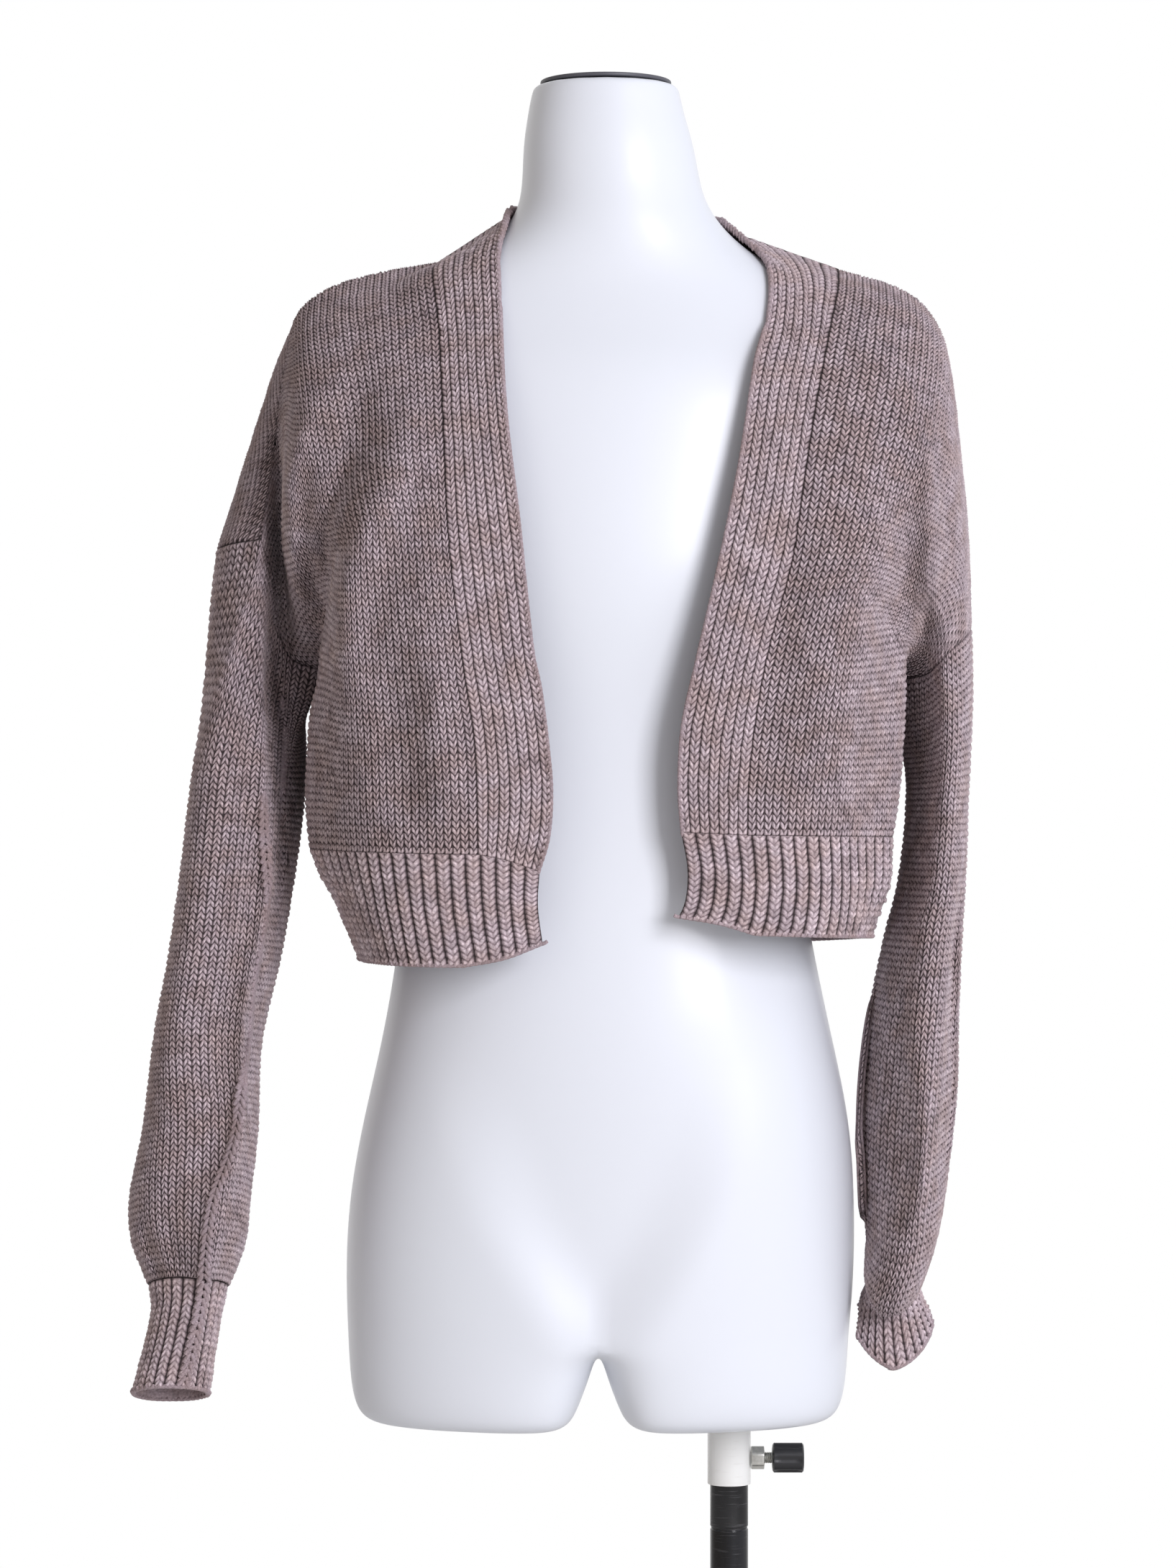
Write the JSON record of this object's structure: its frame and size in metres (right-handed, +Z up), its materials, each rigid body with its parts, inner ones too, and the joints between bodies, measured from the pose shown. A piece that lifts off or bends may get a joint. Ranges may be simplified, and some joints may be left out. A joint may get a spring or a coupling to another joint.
{
  "type": "cropped open-front cardigan on a limbless dress form with its stand",
  "caption": "Cropped knitted cardigan with dropped shoulders, ribbed hem and cuffs and an open front, worn by a glossy limbless dress form on a clamped pole stand.",
  "frame": {"origin": "centre of the base's underside, on the pole's axis", "axes": "+Z up along the pole, -Y is the garment's front, -X is the picture's left; the form stands off the pole towards -X"},
  "size_m": [0.5898, 0.4, 1.5898],
  "materials": {
    "knit": "chunky mauve-taupe stockinette and rib knit",
    "form_gloss": "glossy white moulded shell with fine scratches",
    "neck_cap_grey": "dark grey top plate",
    "stand_black": "scratched gloss black paint",
    "collar_white": "off-white paint",
    "clamp_steel": "zinc-plated nut and screw",
    "knob_black": "black moulded grip"
  },
  "bodies": {
    "stand": {"stand_base": "stand_black", "stand_pole": "stand_black"},
    "form": {"front_left": "knit", "front_right": "knit", "front_band_left": "knit", "front_band_right": "knit", "hem_rib_front_left": "knit", "hem_rib_front_right": "knit", "sleeve_left": "knit", "sleeve_right": "knit", "cuff_left": "knit", "cuff_right": "knit", "back": "knit", "hem_rib_back": "knit", "back_neck_band": "knit", "dress_form": "form_gloss", "neck_cap": "neck_cap_grey", "stand_collar": "collar_white", "clamp_nut": "clamp_steel"},
    "knob": {"clamp_screw": "clamp_steel", "clamp_knob": "knob_black"}
  },
  "joints": [
    {"name": "form_swivel", "type": "hinge", "parent": "stand", "child": "form", "pos_m": [0, 0, 0.69], "axis": [0, 0, 1], "continuous": true},
    {"name": "knob_turn", "type": "hinge", "parent": "form", "child": "knob", "pos_m": [0.0145, 0, 0.686], "axis": [1, 0, 0], "continuous": true}
  ]
}
